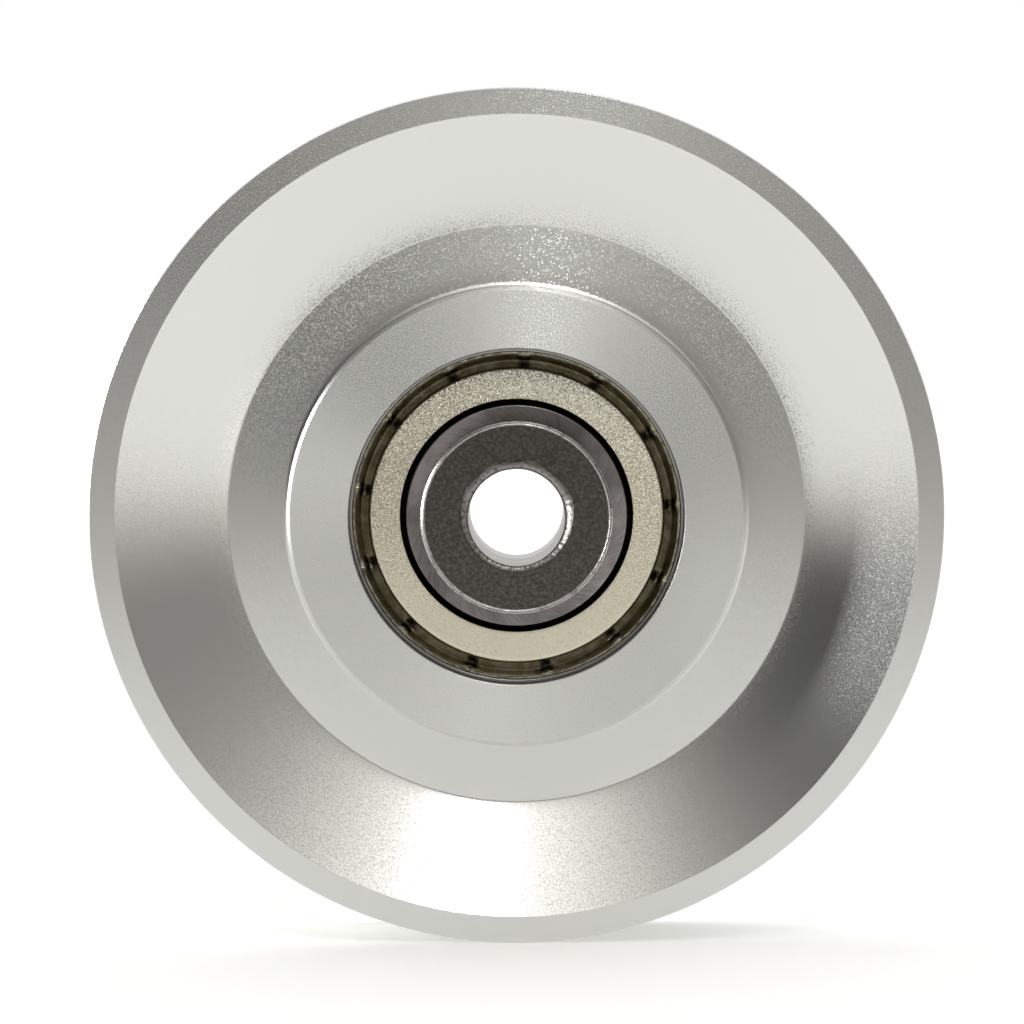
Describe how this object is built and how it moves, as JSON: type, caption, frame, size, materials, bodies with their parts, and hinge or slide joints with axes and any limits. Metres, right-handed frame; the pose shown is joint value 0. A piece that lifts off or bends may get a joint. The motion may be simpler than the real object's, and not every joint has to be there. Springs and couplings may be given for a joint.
{
  "type": "v groove wheel",
  "caption": "Turned steel V groove wheel with a dished web, a shielded ball bearing in its hub and flanged bushes for an axle bolt.",
  "frame": {"origin": "wheel centre: on the axle line, in the middle plane", "axes": "+Z along the axle towards the lip side of the hub; +X and +Y lie in the wheel's middle plane"},
  "size_m": [0.09, 0.09, 0.022],
  "materials": {
    "wheel_steel": "turned, bright zinc plated, satin",
    "spring_steel": "oiled dark spring steel",
    "bearing_steel": "ground bearing steel",
    "inner_ring_steel": "ground bearing steel with tool marks",
    "ball_steel": "polished bearing steel",
    "cage_steel": "pressed bright sheet steel",
    "rivet_steel": "bright steel",
    "shield_steel": "beige passivated sheet steel, matt",
    "bush_steel": "dark oiled steel, scratched"
  },
  "bodies": {
    "axle_core": {"bearing_inner_ring": "inner_ring_steel", "front_bush": "bush_steel", "rear_bush": "bush_steel"},
    "wheel": {"wheel_body": "wheel_steel", "retaining_ring": "spring_steel", "bearing_outer_ring": "bearing_steel", "front_shield": "shield_steel", "rear_shield": "shield_steel"},
    "cage": {"cage_front": "cage_steel", "cage_rear": "cage_steel", "cage_rivets": "rivet_steel"},
    "rolling_ball_1": {"ball_1": "ball_steel"},
    "rolling_ball_2": {"ball_2": "ball_steel"},
    "rolling_ball_3": {"ball_3": "ball_steel"},
    "rolling_ball_4": {"ball_4": "ball_steel"},
    "rolling_ball_5": {"ball_5": "ball_steel"},
    "rolling_ball_6": {"ball_6": "ball_steel"},
    "rolling_ball_7": {"ball_7": "ball_steel"},
    "rolling_ball_8": {"ball_8": "ball_steel"}
  },
  "joints": [
    {"name": "wheel_spin", "type": "hinge", "parent": "axle_core", "child": "wheel", "pos_m": [0, 0, 0], "axis": [0, 0, 1], "continuous": true},
    {"name": "cage_spin", "type": "hinge", "parent": "axle_core", "child": "cage", "pos_m": [0, 0, 0], "axis": [0, 0, 1], "continuous": true},
    {"name": "ball_1_roll", "type": "hinge", "parent": "cage", "child": "rolling_ball_1", "pos_m": [0.01425, 0, 0], "axis": [0, 0, 1], "continuous": true},
    {"name": "ball_2_roll", "type": "hinge", "parent": "cage", "child": "rolling_ball_2", "pos_m": [0.01008, 0.01008, 0], "axis": [0, 0, 1], "continuous": true},
    {"name": "ball_3_roll", "type": "hinge", "parent": "cage", "child": "rolling_ball_3", "pos_m": [0, 0.01425, 0], "axis": [0, 0, 1], "continuous": true},
    {"name": "ball_4_roll", "type": "hinge", "parent": "cage", "child": "rolling_ball_4", "pos_m": [-0.01008, 0.01008, 0], "axis": [0, 0, 1], "continuous": true},
    {"name": "ball_5_roll", "type": "hinge", "parent": "cage", "child": "rolling_ball_5", "pos_m": [-0.01425, 0, 0], "axis": [0, 0, 1], "continuous": true},
    {"name": "ball_6_roll", "type": "hinge", "parent": "cage", "child": "rolling_ball_6", "pos_m": [-0.01008, -0.01008, 0], "axis": [0, 0, 1], "continuous": true},
    {"name": "ball_7_roll", "type": "hinge", "parent": "cage", "child": "rolling_ball_7", "pos_m": [0, -0.01425, 0], "axis": [0, 0, 1], "continuous": true},
    {"name": "ball_8_roll", "type": "hinge", "parent": "cage", "child": "rolling_ball_8", "pos_m": [0.01008, -0.01008, 0], "axis": [0, 0, 1], "continuous": true}
  ],
  "couplings": [
    {"joint": "cage_spin", "follows": "wheel_spin", "ratio": 0.61837},
    {"joint": "ball_1_roll", "follows": "wheel_spin", "ratio": 1.9937},
    {"joint": "ball_2_roll", "follows": "wheel_spin", "ratio": 1.9937},
    {"joint": "ball_3_roll", "follows": "wheel_spin", "ratio": 1.9937},
    {"joint": "ball_4_roll", "follows": "wheel_spin", "ratio": 1.9937},
    {"joint": "ball_5_roll", "follows": "wheel_spin", "ratio": 1.9937},
    {"joint": "ball_6_roll", "follows": "wheel_spin", "ratio": 1.9937},
    {"joint": "ball_7_roll", "follows": "wheel_spin", "ratio": 1.9937},
    {"joint": "ball_8_roll", "follows": "wheel_spin", "ratio": 1.9937}
  ]
}
